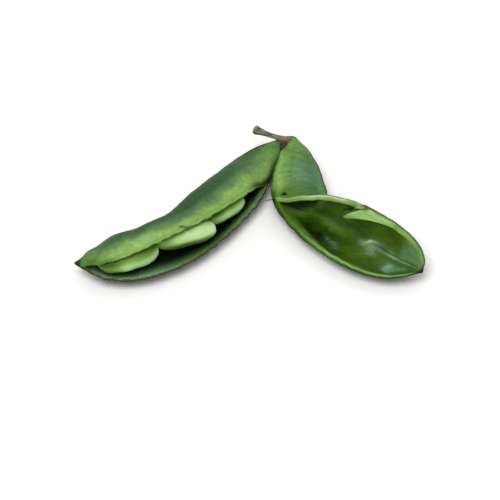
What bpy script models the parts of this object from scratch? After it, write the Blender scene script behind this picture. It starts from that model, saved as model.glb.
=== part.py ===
"""A picked pair of lima bean pods on one stalk.

One pod has sprung open along its near seam and still holds its beans. The other is kinked and is
empty: from its stalk to the kink it is still closed, and beyond the kink its near seam has split
and its two valves are spread like the sides of a boat, with the far seam as the keel. Each pod grew
as one piece, so it is one solid with a real wall and a real hollow.

X runs to the right, Y away from the viewer, Z up. The origin is on the surface that the pods lie
on, under the middle of the whole object. Outlines are in millimetres.
"""

import bmesh
import bpy
import numpy as np

MM = 0.001

# Driving dimensions, in millimetres.
POD_WALL = 1.5  # fleshy wall of a fresh pod over its hollow
SUTURE_RIB = 2.6  # solid rib along a closed seam
RIM_THICKNESS = 2.2  # thickened margin of an open valve
FULL_RIM_GAPE = 3.0  # gape of the valves from which the seam's rib has become two such rims
SPLIT_STEP = 0.1  # the same on the kinked pod, as the share of its upper valve that is gone
THINNEST_HOLLOW = 0.2  # least depth of a valve's hollow
BELLY_WALL = 1.0  # least wall where the pod is pressed flat on the surface
CENTRE = (0.0, 19.1)  # middle of the footprint, in the coordinates of the outlines below

# Share of the seam-to-seam width by which one valve bulges in its middle, and at the two ends
# where the pod runs out into a round neck and a round beak.
OPEN_PLUMPNESS, KINKED_PLUMPNESS = 0.23, 0.29
END_PLUMPNESS = 0.5
END_REACH = 0.10  # how far the round neck and beak reach, as a share of the pod
BETWEEN_BEANS, OVER_A_BEAN = 0.88, 0.20  # share of the bulge between beans, and what a bean adds
BEAN_SWELL_REACH = 0.075  # half the length of the swelling over a bean, as a share of the pod
VALVE_FULLNESS = 0.9  # below 1 the bulge is flatter on top and steeper at the seams

STATIONS = 44  # sections along a pod
VALVE_STEPS = 12  # faces across one valve, an even number so that the keel has a row of corners

# The open pod, from its neck to its beak: its closed far seam, the free edge of its lower valve
# and the free edge of its upper valve, which gapes over the beans.
OPEN_FAR_SEAM = [
    (10.2, 56.0, 8.2), (1.0, 51.4, 7.6), (-9.0, 42.6, 7.0), (-19.0, 31.0, 6.7), (-28.0, 18.6, 6.7),
    (-36.0, 9.4, 6.7), (-44.0, 4.4, 6.7), (-52.0, 2.2, 6.6), (-60.2, -3.4, 6.4), (-68.6, -13.4, 6.2),
]
OPEN_LOWER_EDGE = [
    (13.2, 52.6, 8.0), (9.6, 40.0, 6.4), (4.4, 23.4, 5.2), (-3.6, 10.2, 4.7), (-11.6, -0.2, 4.7),
    (-21.8, -10.6, 4.7), (-33.2, -17.8, 4.6), (-45.0, -21.8, 4.6), (-57.4, -21.0, 5.0),
    (-68.4, -14.4, 6.1),
]
OPEN_UPPER_EDGE = [
    (13.2, 52.6, 8.0), (8.6, 39.8, 8.0), (0.9, 22.5, 11.5), (-9.3, 10.0, 14.0), (-19.2, -0.4, 15.8),
    (-29.4, -8.6, 16.6), (-38.6, -14.2, 16.2), (-47.8, -18.3, 14.4), (-58.0, -19.6, 11.6),
    (-68.4, -14.4, 6.1),
]
OPEN_FROM, OPEN_TO = 0.13, 0.965  # where along the pod its near seam has sprung open
OPENS_OVER, CLOSES_OVER = 0.10, 0.04  # how quickly it opens from the neck and closes at the beak
OPEN_BEANS_AT = (0.40, 0.60, 0.82)  # where along the pod the beans lie

# The kinked pod, from its neck to its beak: its right and far margin, and its left and near one.
# Up to the kink, a third of the way along, these are the seams. Beyond it they are the two free
# edges of the near seam, and the far seam runs down to the keel.
KINKED_FAR_SEAM = [
    (20.2, 55.6, 9.0), (24.0, 51.6, 7.6), (28.0, 42.8, 6.8), (30.2, 33.4, 6.8), (31.2, 26.4, 7.8),
    (31.7, 22.2, 8.8), (36.6, 18.8, 10.2), (44.0, 14.2, 11.4), (52.0, 8.8, 11.6), (60.0, 1.8, 11.2),
    (66.4, -6.2, 9.8), (68.6, -13.2, 7.8), (67.8, -18.0, 6.3),
]
KINKED_NEAR_SEAM = [
    (17.0, 55.2, 9.0), (13.2, 49.4, 7.6), (10.4, 40.8, 6.4), (8.8, 32.4, 6.0), (9.0, 24.4, 5.4),
    (11.6, 16.4, 4.8), (16.4, 8.2, 4.4), (23.4, -1.4, 4.4), (33.6, -11.2, 4.4), (43.8, -17.8, 4.4),
    (53.6, -20.6, 4.6), (61.4, -20.0, 5.2), (66.6, -18.8, 5.9),
]
KINKED_BEANS_AT = (0.26, 0.60, 0.80)
# The free edge of the upper valve where it crosses over the kink, from the near margin to the far
# one: place along the pod, and the share of the width that the valve still covers.
CROSSING = [
    (0.335, 1.0), (0.385, 0.90), (0.415, 0.76), (0.45, 0.54),
    (0.49, 0.34), (0.53, 0.23), (0.575, 0.15), (0.60, 0.0),
]
KINKED_BOW_FROM, KINKED_BOW_TO = 0.955, 0.985  # where the spread valves close into the beak
LIP_LIFT, LIP_REACH = 1.4, 1.6  # how high that free edge curls up, and how far back it curls
LIP_FROM, LIP_TO = 0.08, 0.12  # the curl starts and ends over these shares of the valve's width
KEEL_FROM, KEEL_TO = 0.45, 0.80  # where along the pod the keel starts to show, and is sharpest
KEEL_SHARPNESS = 0.4  # share of a plain V in the section of the spread valves

HOLLOW_FROM, HOLLOW_TO = 0.06, 0.975  # where the hollow in a pod starts and ends
HOLLOW_TAPER = 0.07  # length of its rounded ends, as a share of the pod

# Beans: place of the middle, length, width, thickness, and turn in plan, tilt and roll in degrees.
BEANS = {
    "bean_tip": ((-47.2, -11.4, 7.4), (24.8, 16.6, 8.4), (22, 0, 12)),
    "bean_middle": ((-25.8, -0.2, 9.2), (24.4, 16.0, 8.4), (17, 0, 16)),
    "bean_stalk_end": ((-10.8, 16.0, 7.2), (20.0, 14.4, 7.2), (42, 0, 12)),
}
BEAN_SQUARENESS = 0.88  # below 1 the ends and the edge are blunter than an ellipsoid's
HILUM_NOTCH = 0.055  # depth of the dip at the bean's eye, as a share of its width
HILUM_REACH = 0.26  # half its length, as a share of the bean's
BEAN_SEGMENTS, BEAN_RINGS = 28, 14

# The stalk: places and radii along it, from the broken knob to the end that carries the pods.
STALK = [
    ((1.4, 58.9, 12.2), 1.4), ((2.8, 58.4, 12.0), 1.9), ((4.8, 57.6, 11.9), 1.3),
    ((8.2, 55.9, 11.8), 1.0), ((11.6, 54.8, 11.7), 1.05), ((14.6, 55.4, 11.0), 1.25),
    ((16.6, 56.6, 9.9), 1.2),
]
STALK_SECTIONS = 22

POD_GREEN = (0.105, 0.225, 0.062)
BEAN_GREEN = (0.48, 0.68, 0.36)
STALK_BROWN = (0.155, 0.128, 0.072)
SHARP_ANGLE = 50  # degrees; a sharper fold is shaded as an edge
SAME_POINT = 1e-6  # points closer than this, in the unit at hand, are one point


def smooth_through(points, places):
    """The Catmull-Rom curve through the points, at places from 0 (first point) to 1 (last)."""
    points = np.asarray(points, float)
    first = 2 * points[:1] - points[1:2]
    last = 2 * points[-1:] - points[-2:-1]
    run = np.vstack([first, points, last])
    spans = len(points) - 1
    place = np.clip(np.asarray(places, float), 0, 1) * spans
    index = np.minimum(place.astype(int), spans - 1)
    part = (place - index)[:, None]
    a, b, c, d = run[index], run[index + 1], run[index + 2], run[index + 3]
    bend = (2 * a - 5 * b + 4 * c - d) * part**2
    turn = (3 * b - a - 3 * c + d) * part**3
    return 0.5 * (2 * b + (c - a) * part + bend + turn)


def unit(vectors):
    """The vectors at length 1."""
    return vectors / np.linalg.norm(vectors, axis=-1, keepdims=True)


def upward(vectors):
    """The vectors at length 1, each turned over where it points down."""
    return unit(vectors) * np.sign(vectors[..., 2:])


def ease(value):
    """0 below 0, 1 above 1, and a smooth step in between."""
    value = np.clip(value, 0, 1)
    return value * value * (3 - 2 * value)


def bulge(places, plumpness, beans_at):
    """Bulge of a valve as a share of its width: fuller over each bean, round at neck and beak."""
    over_beans = sum(np.exp(-(((places - bean) / BEAN_SWELL_REACH) ** 2)) for bean in beans_at)
    body = plumpness * (BETWEEN_BEANS + OVER_A_BEAN * over_beans)
    to_end = ease(1 - np.minimum(places, 1 - places) / END_REACH)
    return body + (END_PLUMPNESS - body) * to_end


class Pod:
    """The sections of one pod: three edge lines, and each valve's arch between two of them."""

    def __init__(self, seams, plumpness, beans_at, left_of_upper, opened, keel=np.zeros_like):
        self.places = np.linspace(0, 1, STATIONS + 1)
        self.far, self.lower, self.upper = (smooth_through(s, self.places) for s in seams)
        self.upper = self.lower + opened(self.places)[:, None] * (self.upper - self.lower)
        self.left = left_of_upper(self.places)
        self.plump = bulge(self.places, plumpness, beans_at)
        self.keel = keel(self.places)
        along = np.gradient((self.far + self.lower) / 2, axis=0)
        self.down = -upward(np.cross(self.lower - self.far, along))
        self.up = upward(np.cross(self.upper - self.far, along))
        self.across_lower = unit(self.lower - self.far)
        self.across_upper = unit(self.upper - self.far)

    def arch(self, start, end, out, depth, left):
        """Points from start to end of each section, bulged by depth along out.

        They stop at the share of the width that is left of the valve. The bulge is a round arch,
        with a part of it a plain V where the section has a keel.
        """
        step = (1 - np.cos(np.linspace(0, np.pi, VALVE_STEPS + 1))) / 2
        share = step[None, :, None] * left[:, None, None]
        height = (4 * share * (1 - share)) ** VALVE_FULLNESS
        height += self.keel[:, None, None] * (1 - np.abs(2 * share - 1) - height)
        across = start[:, None] + share * (end - start)[:, None]
        return across + out[:, None] * depth[:, None, None] * height

    def outer_skin(self):
        """Outer face, from the upper valve's free edge over the far seam to the lower valve's."""
        width_lower = np.linalg.norm(self.lower - self.far, axis=1)
        width_upper = np.linalg.norm(self.upper - self.far, axis=1)
        whole = np.ones_like(self.places)
        lower = self.arch(self.far, self.lower, self.down, self.plump * width_lower, whole)
        upper = self.arch(self.far, self.upper, self.up, self.plump * width_upper, self.left)
        skin = np.concatenate([upper[:, :0:-1], lower], axis=1)
        skin[..., 2] = np.maximum(skin[..., 2], 0)
        return skin

    def inner_skin(self):
        """Face of the hollow, in the same order, drawn in by the wall, the ribs and the rims."""
        gape = np.linalg.norm(self.upper - self.lower, axis=1)
        split = ease((1 - self.left) / SPLIT_STEP)
        opening = np.maximum(ease(gape / FULL_RIM_GAPE), split)[:, None]
        far = self.far + SUTURE_RIB * unit(self.across_lower + self.across_upper)
        skins = []
        for edge, out, across in (
            (self.upper, self.up, self.across_upper),
            (self.lower, self.down, self.across_lower),
        ):
            slope = np.sqrt(0.5) * RIM_THICKNESS
            inwards = SUTURE_RIB + (slope - SUTURE_RIB) * opening
            near = edge - across * inwards - out * slope * opening
            width = np.linalg.norm(edge - self.far, axis=1)
            depth = self.plump * width - POD_WALL + slope * opening[:, 0] / 2
            left = np.ones_like(self.places)
            if edge is self.upper:
                reach = (self.left * width - SUTURE_RIB) / np.linalg.norm(near - far, axis=1)
                left = np.where(self.left < 1, np.clip(reach, 0, 1), 1)
            skins.append(self.arch(far, near, out, np.maximum(depth, THINNEST_HOLLOW), left))
        skin = np.concatenate([skins[0][:, :0:-1], skins[1]], axis=1)
        middle = (far + (self.lower + self.upper) / 2) / 2
        to_end = np.minimum(self.places - HOLLOW_FROM, HOLLOW_TO - self.places) / HOLLOW_TAPER
        room = np.sqrt(np.clip(1 - (1 - np.clip(to_end, 0, 1)) ** 2, 0, 1))
        skin = middle[:, None] + room[:, None, None] * (skin - middle[:, None])
        skin[..., 2] = np.maximum(skin[..., 2], BELLY_WALL)
        return skin


def lift_lip(skin, pod):
    """Curls the free edge of the upper valve up where it crosses over the kink."""
    upper = skin[:, : VALVE_STEPS + 1]
    from_edge = np.linalg.norm(upper - upper[:, :1], axis=2)
    crossing = ease((1 - pod.left) / LIP_FROM) * ease(pod.left / LIP_TO)
    lift = LIP_LIFT * crossing[:, None] * np.exp(-((from_edge / LIP_REACH) ** 2))
    upper += lift[..., None] * pod.up[:, None]


def quads(rows, columns, start, turned):
    """Faces of a grid of points numbered from start, row by row."""
    corner = (np.arange(rows - 1)[:, None] * columns + np.arange(columns - 1)).ravel() + start
    order = (0, columns, columns + 1, 1) if turned else (0, 1, columns + 1, columns)
    return [tuple(int(c + step) for step in order) for c in corner]


def shell(name, outer, inner, material):
    """One closed solid from an outer skin and an inner skin, joined along the open edges.

    The outer skin runs the whole length. The inner one is the rows that the hollow takes. Where an
    edge of one skin meets its other edge, the seam is closed and welds.
    """
    rows, columns = outer.shape[:2]
    places = np.linspace(0, 1, rows)
    hollow = np.flatnonzero((places >= HOLLOW_FROM) & (places <= HOLLOW_TO))
    first, last = hollow[0], hollow[-1]
    inner = inner[first : last + 1].copy()
    inner[0] = inner[0].mean(axis=0)
    inner[-1] = inner[-1].mean(axis=0)
    points = np.concatenate([outer.reshape(-1, 3), inner.reshape(-1, 3)])
    base = rows * columns
    faces = quads(rows, columns, 0, False) + quads(len(inner), columns, base, True)
    for edge, turned in ((0, False), (columns - 1, True)):
        for row in range(first, last):
            outside = row * columns + edge
            inside = base + (row - first) * columns + edge
            gapes = np.linalg.norm(outer[row : row + 2, 0] - outer[row : row + 2, -1], axis=1)
            if gapes.max() < SAME_POINT:
                continue
            corners = [outside, inside, inside + columns, outside + columns]
            faces.append(tuple(int(c) for c in (corners[::-1] if turned else corners)))
    mesh = bpy.data.meshes.new(name)
    moved = (points - np.array([*CENTRE, 0])) * MM
    mesh.from_pydata(moved.tolist(), [], faces)
    solid = bmesh.new()
    solid.from_mesh(mesh)
    bmesh.ops.remove_doubles(solid, verts=solid.verts, dist=SAME_POINT)
    bmesh.ops.holes_fill(solid, edges=[e for e in solid.edges if e.is_boundary], sides=0)
    bmesh.ops.recalc_face_normals(solid, faces=solid.faces)
    bmesh.ops.triangulate(solid, faces=solid.faces)
    solid.to_mesh(mesh)
    solid.free()
    return place(name, mesh, material)


def place(name, mesh, material):
    """Puts a mesh into the part's collection as a smooth-shaded object."""
    mesh.shade_smooth()
    mesh.set_sharp_from_angle(angle=np.radians(SHARP_ANGLE))
    mesh.materials.append(material)
    made = bpy.data.objects.new(name, mesh)
    bpy.data.collections["lima_bean_pods"].objects.link(made)
    return made


def finish(name, colour, roughness):
    """A plain surface finish."""
    material = bpy.data.materials.new(name)
    material.use_nodes = True
    shader = material.node_tree.nodes["Principled BSDF"]
    shader.inputs["Base Color"].default_value = (*colour, 1)
    shader.inputs["Roughness"].default_value = roughness
    shader.inputs["Metallic"].default_value = 0
    return material


def open_pod(material):
    """The pod that holds the beans."""

    def opened(places):
        return ease((places - OPEN_FROM) / OPENS_OVER) * ease((OPEN_TO - places) / CLOSES_OVER)

    seams = (OPEN_FAR_SEAM, OPEN_LOWER_EDGE, OPEN_UPPER_EDGE)
    pod = Pod(seams, OPEN_PLUMPNESS, OPEN_BEANS_AT, np.ones_like, opened)
    return shell("open_pod", pod.outer_skin(), pod.inner_skin(), material)


def kinked_pod(material):
    """The kinked pod, empty, closed up to the kink and spread open beyond it."""

    def left_of_upper(places):
        at, share = zip(*CROSSING)
        bow = ease((places - KINKED_BOW_FROM) / (KINKED_BOW_TO - KINKED_BOW_FROM))
        return np.maximum(np.interp(places, at, share), bow)

    def keel(places):
        return KEEL_SHARPNESS * ease((places - KEEL_FROM) / (KEEL_TO - KEEL_FROM))

    seams = (KINKED_FAR_SEAM, KINKED_NEAR_SEAM, KINKED_NEAR_SEAM)
    pod = Pod(seams, KINKED_PLUMPNESS, KINKED_BEANS_AT, left_of_upper, np.zeros_like, keel)
    outer, inner = pod.outer_skin(), pod.inner_skin()
    lift_lip(outer, pod)
    lift_lip(inner, pod)
    return shell("kinked_pod", outer, inner, material)


def bean(name, middle, size, turns, material):
    """A flat kidney-shaped seed: a sphere made blunter, squashed, and dipped at its eye."""
    bpy.ops.mesh.primitive_uv_sphere_add(segments=BEAN_SEGMENTS, ring_count=BEAN_RINGS, radius=1)
    made = bpy.context.object
    made.name = name
    mesh = made.data
    at = np.empty(len(mesh.vertices) * 3)
    mesh.vertices.foreach_get("co", at)
    at = at.reshape(-1, 3)
    blunt = np.sign(at) * np.abs(at) ** BEAN_SQUARENESS
    shaped = blunt * np.array(size) / 2
    at_eye = np.exp(-((blunt[:, 0] / HILUM_REACH) ** 2)) * ease(blunt[:, 1])
    shaped[:, 1] -= HILUM_NOTCH * size[1] * at_eye
    mesh.vertices.foreach_set("co", (shaped * MM).ravel())
    mesh.shade_smooth()
    mesh.materials.append(material)
    made.location = (np.array(middle) - np.array([*CENTRE, 0])) * MM
    turn, tilt, roll = np.radians(turns)
    made.rotation_euler = (-roll, tilt, turn)
    for collection in made.users_collection:
        collection.objects.unlink(made)
    bpy.data.collections["lima_bean_pods"].objects.link(made)
    return made


def stalk(material):
    """The woody stalk, a tube of changing thickness with a broken knob at its free end."""
    curve = bpy.data.curves.new("stalk", "CURVE")
    curve.dimensions = "3D"
    curve.bevel_depth = MM
    curve.bevel_resolution = 2
    curve.use_fill_caps = True
    places = np.linspace(0, 1, STALK_SECTIONS)
    path = smooth_through([place for place, _ in STALK], places)
    radii = smooth_through([(radius,) for _, radius in STALK], places)[:, 0]
    line = curve.splines.new("POLY")
    line.points.add(len(path) - 1)
    for point, where, radius in zip(line.points, path, radii):
        point.co = (*((where - np.array([*CENTRE, 0])) * MM), 1)
        point.radius = radius
    curve.materials.append(material)
    made = bpy.data.objects.new("stalk", curve)
    bpy.data.collections["lima_bean_pods"].objects.link(made)
    return made


def main():
    for old in list(bpy.data.objects):
        bpy.data.objects.remove(old)
    collection = bpy.data.collections.new("lima_bean_pods")
    bpy.context.scene.collection.children.link(collection)
    pod_green = finish("fresh_pod_skin", POD_GREEN, 0.5)
    bean_green = finish("fresh_bean_skin", BEAN_GREEN, 0.35)
    stalk_brown = finish("dry_stalk_bark", STALK_BROWN, 0.8)
    open_pod(pod_green)
    kinked_pod(pod_green)
    for name, (middle, size, turns) in BEANS.items():
        bean(name, middle, size, turns, bean_green)
    stalk(stalk_brown)


main()
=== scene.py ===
"""The looks of a picked pair of fresh lima bean pods on one stalk.

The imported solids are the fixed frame. Each of them is replaced here by a finer surface on the same
curves: two pods with real walls, rounded rims and seams, three beans, and the stalk.

X runs to the right, Y away from the viewer, Z up. Outlines are in millimetres. They are moved to
the frame's origin and turned to metres when a mesh is made.
"""

from functools import partial

import bpy
import numpy as np
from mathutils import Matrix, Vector


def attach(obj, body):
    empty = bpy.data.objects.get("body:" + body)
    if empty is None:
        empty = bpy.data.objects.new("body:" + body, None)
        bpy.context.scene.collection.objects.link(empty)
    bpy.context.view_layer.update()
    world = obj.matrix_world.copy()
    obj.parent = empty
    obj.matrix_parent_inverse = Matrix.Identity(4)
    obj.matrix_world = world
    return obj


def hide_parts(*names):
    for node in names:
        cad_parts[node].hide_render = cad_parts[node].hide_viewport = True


MM = 0.001
CENTRE = (0.0, 19.1)  # middle of the footprint, in the coordinates of the outlines
WELD = 2e-7  # points that are closer than this, in metres, become one

# The camera: what it looks at, its height in degrees, its distance and its field of view.
LOOKS_AT = (0.0, -0.0191, 0.0)
CAMERA_ELEVATION = 45.0
CAMERA_DISTANCE = 0.8
CAMERA_LENS, CAMERA_SENSOR = 144.0, 36.0

# Studio lights: name, place in metres, diameter in metres and power in watts.
LIGHTS = [
    ("key", (-0.20, -0.35, 0.95), 0.8, 7.0),
    ("fill", (0.30, 0.70, 0.70), 0.9, 1.5),
]
STUDIO_BRIGHTNESS = 0.60

# The pods' walls, in millimetres, as in the solids.
POD_WALL = 1.5
SUTURE_RIB = 2.6
RIM_THICKNESS = 2.2
RIM_ROUNDNESS = 0.5
BELLY_WALL = 1.0
NARROW_VALVE = 9.0  # a valve narrower than this has thinner walls and rims
FULL_RIM_GAPE = 3.0
SPLIT_STEP = 0.1
THINNEST_HOLLOW = 0.2
OPEN_PLUMPNESS, KINKED_PLUMPNESS = 0.23, 0.29
END_PLUMPNESS = 0.5
END_REACH = 0.10
BETWEEN_BEANS, OVER_A_BEAN = 0.88, 0.20
BEAN_SWELL_REACH = 0.075
VALVE_FULLNESS = 0.9

# The hollows, as shares of their pod: where each starts, its taper there, its end and its taper.
OPEN_HOLLOW = (0.06, 0.07, 0.99, 0.07)
KINKED_HOLLOW = (0.26, 0.10, 1.04, 0.05)

# The open pod: closed far seam, free edge of the lower valve, free edge of the upper valve.
OPEN_FAR_SEAM = [
    (10.2, 56.0, 8.2), (1.0, 51.4, 7.6), (-9.0, 42.6, 7.0), (-19.0, 31.0, 6.7),
    (-28.0, 18.6, 6.7), (-36.0, 8.6, 6.7), (-44.0, 3.5, 6.7), (-52.0, 0.8, 6.6),
    (-60.2, -4.6, 6.4), (-68.6, -13.4, 6.2),
]
OPEN_LOWER_EDGE = [
    (13.6, 53.0, 8.0), (9.9, 40.2, 6.4), (4.4, 23.4, 5.2), (-3.6, 10.2, 4.7),
    (-11.6, -0.2, 4.7), (-21.8, -10.6, 4.7), (-33.2, -17.8, 4.6), (-45.0, -21.8, 4.6),
    (-57.4, -21.0, 5.0), (-68.4, -14.4, 6.1),
]
OPEN_UPPER_EDGE = [
    (13.6, 53.0, 8.0), (9.2, 40.2, 8.2), (1.0, 23.0, 12.0), (-9.3, 10.8, 14.5),
    (-19.2, 0.5, 16.2), (-29.4, -7.4, 17.0), (-38.6, -13.4, 16.6), (-47.8, -17.5, 14.8),
    (-58.0, -19.0, 11.8), (-68.4, -14.4, 6.1),
]
OPEN_FROM, OPEN_TO = 0.13, 0.992
OPENS_OVER, CLOSES_OVER = 0.10, 0.045
SHUT = 0.001  # a section that is open by less than this share is closed
SPLIT = ((-28.2, -25.2, -21.8), (-4.1, -4.2, -3.1))  # X and Y of a short tear in from the edge
OPEN_BEANS_AT = (0.40, 0.60, 0.82)

# The kinked pod: its far margin, its near margin, and where the upper valve's free edge crosses.
KINKED_FAR_SEAM = [
    (20.2, 55.6, 9.0), (24.0, 51.6, 7.6), (28.0, 42.8, 6.8), (30.2, 33.4, 6.8), (31.2, 26.4, 7.8),
    (31.8, 22.4, 9.1), (36.9, 19.2, 10.8), (44.1, 14.5, 11.9), (52.0, 8.8, 11.7), (60.0, 1.8, 11.2),
    (66.4, -6.2, 9.8), (68.6, -13.2, 7.8), (67.8, -18.0, 6.3),
]
KINKED_NEAR_SEAM = [
    (16.0, 55.4, 9.0), (12.3, 49.4, 7.6), (9.7, 40.8, 6.4), (8.5, 32.4, 6.0), (8.9, 24.4, 5.4),
    (11.6, 16.4, 4.8), (16.4, 8.2, 4.4), (23.4, -1.4, 4.4), (33.6, -11.2, 4.4), (43.8, -17.8, 4.4),
    (53.6, -20.6, 4.6), (61.4, -20.0, 5.2), (66.6, -18.8, 5.9),
]
KINKED_BEANS_AT = (0.26, 0.60, 0.80)
CROSSING = (
    (0.335, 0.385, 0.415, 0.45, 0.49, 0.53, 0.575, 0.60),
    (1.0, 0.90, 0.76, 0.54, 0.34, 0.23, 0.15, 0.0),
)
# The far rim's thickness along the pod, as a share of the rib's.
FAR_RIM = ((0.5, 0.6, 0.66, 0.73, 0.85, 0.95), (1.0, 0.9, 0.85, 0.72, 0.68, 0.55))
LIP_LIFT, LIP_REACH = 1.4, 1.6
LIP_FROM, LIP_TO = 0.08, 0.12
# The dent is painted dark as the shade in it.
PIT = (13.75, 31.3, 9.6)  # a small dark dent above the crossing edge: X, Y + Z, and Z
PIT_WIDE, PIT_DEEP = 1.6, 2.1
LIP_TONGUE = (  # X, and the sum of Y and Z at the lower and at the upper outline
    (37.2, 38.4, 40.0, 42.4, 44.8, 46.8, 48.0, 51.2, 54.0, 57.5),
    (18.6, 18.1, 17.9, 17.6, 17.2, 16.7, 16.4, 15.3, 13.9, 11.8),
    (19.2, 19.9, 21.0, 22.0, 22.8, 23.3, 30.0, 30.0, 30.0, 30.0),
)
KEEL_FROM, KEEL_TO = 0.45, 0.80
KEEL_SHARPNESS, KEEL_ROUNDNESS = 0.4, 0.08
KEEL_FOOT = ((0.45, 0.60, 0.70), (0.45, 0.38, 0.34))  # places along, and where the foot lies
CREASE_AT, CREASE_WIDTH = 0.335, 24  # the crease's share across, and the valve's width there

# How finely the pods are made.
EDGE_DENSITY = 0.35  # how much closer the points lie at the free edges
ROWS = 370  # sections along a pod
DENSE = 160  # steps in which a valve's arch is first worked out
OUTER_STEPS, INNER_STEPS, RIM_STEPS, CAP_STEPS = 112, 90, 8, 8

# What changes along the open pod: places in millimetres from the neck, and the value at each.
OPEN_ALONG = {
    "far_tone": (
        (0, 14, 29, 48, 67, 84, 95, 106), (0.46, 0.42, 0.24, 0.12, 0.18, 0.26, 0.28, 0.42),
    ),
    "near_tone": (
        (0, 14, 29, 48, 67, 84, 95, 106), (0.52, 0.66, 0.77, 0.75, 0.82, 0.85, 0.82, 0.56),
    ),
    "light_reach": ((14, 29, 48, 67, 84, 95), (9.5, 8.3, 5.3, 4.8, 6.1, 5.4)),
    "pale_width": ((30, 60, 80, 100), (0.8, 0.8, 1.3, 1.4)),
    "pale_tone": ((20, 31, 52, 67, 80, 95, 104), (0.54, 0.50, 0.36, 0.30, 0.62, 0.82, 0.86)),
    "lower_rim": ((20, 35, 60, 80, 100), (0.70, 0.58, 0.40, 0.46, 0.52)),
    "shoulder_at": ((0, 10, 28, 45), (1, 3, 8, 12.5)),
}
# How light the lining is at distances from the free edge, in millimetres. It is dark deeper
# in: painted shade under the beans.
PALE_FROM_RIM = ((0, 1.2, 2.4, 4.0, 5.5), (0.9, 1.0, 0.75, 0.30, 0.0))

# What changes along the kinked pod, and its outside tone from the far seam to the near one.
# The tone drops at the near seam: painted shade in the narrow gap beside the open pod.
KINKED_ALONG = {
    "near_rim": ((34, 45, 55, 66, 80, 95), (0.39, 0.45, 0.53, 0.60, 0.74, 0.66)),
    "far_rim": ((34, 44, 50, 58, 75, 86, 95), (0.76, 0.94, 1.0, 0.92, 0.86, 0.72, 0.62)),
    "slit_at": ((31, 37), (0.84, 0.48)),
}
CLOSED_TONE = (
    (0, 0.05, 0.10, 0.18, 0.30, 0.45, 0.62, 0.75, 0.85, 0.91, 1.0),
    (0.34, 0.54, 0.55, 0.42, 0.47, 0.56, 0.60, 0.70, 0.84, 0.74, 0.34),
)
# Soft spots on its lining: strength, place along in millimetres and across as a share, and reach.
# The dark spots are painted shade in the lining's hollows. The sheen spots are painted
# highlights, glints and reflections, and the blue spots tint two of them as a painted reflection.
# Some tone spots lighten the lining as painted light under the band and on the crease's ridge.
LINING_SPOTS = {
    "tone": [
        (0.28, 50, 0.40, 9, 0.08), (0.22, 68, 0.62, 3, 0.10), (0.32, 81, 0.36, 5, 0.08),
        (-0.10, 40, 0.25, 8, 0.2),
    ],
    "dark": [
        (0.97, 50, 0.80, 7.5, 0.15), (0.45, 77, 0.12, 5, 0.07), (0.35, 66, 0.66, 5, 0.10),
    ],
    "painted_sheen": [
        (0.42, 70.0, 0.38, 4.5, 0.08), (0.90, 69.6, 0.34, 1.6, 0.026), (0.25, 83, 0.33, 4.0, 0.05),
        (0.30, 71.5, 0.50, 2.5, 0.05), (0.42, 84, 0.66, 3.0, 0.08),
    ],
    "streaked_painted_sheen": [(0.16, 57, 0.76, 2.5, 0.07)],
    "blue": [(0.6, 83.5, 0.66, 5, 0.12), (0.5, 57, 0.76, 3, 0.08)],
    "yellow": [
        (0.55, 50, 0.42, 9, 0.08), (0.8, 66, 0.66, 6, 0.13), (0.5, 77, 0.14, 7, 0.10),
        (0.5, 78, 0.54, 4, 0.09),
    ],
}

# Beans: place of the middle, length, width and thickness, and turn in plan and roll in degrees.
BEANS = {
    "bean_tip": ((-48.2, -10.7, 7.8), (25.4, 15.4, 8.6), (21, 12)),
    "bean_middle": ((-26.7, 0.4, 9.3), (25.8, 15.2, 8.6), (22, 16)),
    "bean_stalk_end": ((-12.1, 16.3, 7.6), (21.6, 13.4, 7.4), (42, 12)),
}
BEAN_SQUARENESS = 0.78
# How far each bean's right end bends towards the viewer, and how much it narrows on its far side.
BEAN_BENDS = {"bean_tip": (-0.6, 0.0), "bean_middle": (1.9, 0.60), "bean_stalk_end": (0.4, 0.1)}
# How pale each bean is, how much darker its top and its underside are with painted shade, each
# from a height, how much darker its left end is, and how much paler its right end is with a
# painted highlight.
BEAN_PAINTED_SHADE = {
    "bean_tip": (0.82, 0.40, -0.10, 0.30, -0.40, 0.60, 0.60),
    "bean_middle": (0.91, 0.12, 0.35, 0.90, 0.15, 0.36, 0.20),
    "bean_stalk_end": (0.79, 0.42, 0.12, 0.50, -0.10, 0.26, 0.10),
}
HILUM_NOTCH, HILUM_REACH = 0.055, 0.26
BEAN_ROWS, BEAN_COLUMNS = 120, 144

# The stalk: places and radii along it, from the broken knob to the end that carries the pods.
STALK = [
    ((1.4, 58.9, 12.2), 1.4), ((2.8, 58.4, 12.0), 1.9), ((4.8, 57.6, 11.9), 1.3),
    ((8.2, 55.8, 11.8), 1.05), ((11.6, 54.4, 11.5), 1.1), ((14.4, 54.1, 10.9), 1.35),
    ((16.6, 54.9, 10.4), 1.35),
]
# Short green necks from the stalk down to each pod, and a dim one between them, painted near
# black as the shade in the gap between the pods: places and radii.
NECKS = [
    [
        ((12.6, 54.6, 11.0), 0.7), ((12.6, 54.2, 9.9), 1.0), ((12.3, 53.9, 8.8), 1.5),
        ((11.9, 53.6, 8.0), 1.6),
    ],
    [
        ((16.0, 54.8, 10.6), 0.9), ((17.2, 55.2, 10.1), 1.3), ((18.0, 55.2, 9.5), 1.6),
        ((18.6, 54.8, 8.8), 1.7),
    ],
    [
        ((14.2, 54.6, 10.9), 0.9), ((14.1, 53.4, 9.9), 1.4), ((14.0, 51.9, 8.9), 1.4),
        ((13.8, 50.2, 8.0), 0.9),
    ],
]
BROKEN_AT = ((2.2, 58.6, 13.6), (17.0, 55.0, 11.4))  # where the bark is broken and pale
STALK_LENGTH, NECK_LENGTH, FIBRE_LENGTH = 17, 4, 4
STALK_ROWS, NECK_ROWS, FIBRE_ROWS = 220, 60, 40
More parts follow.
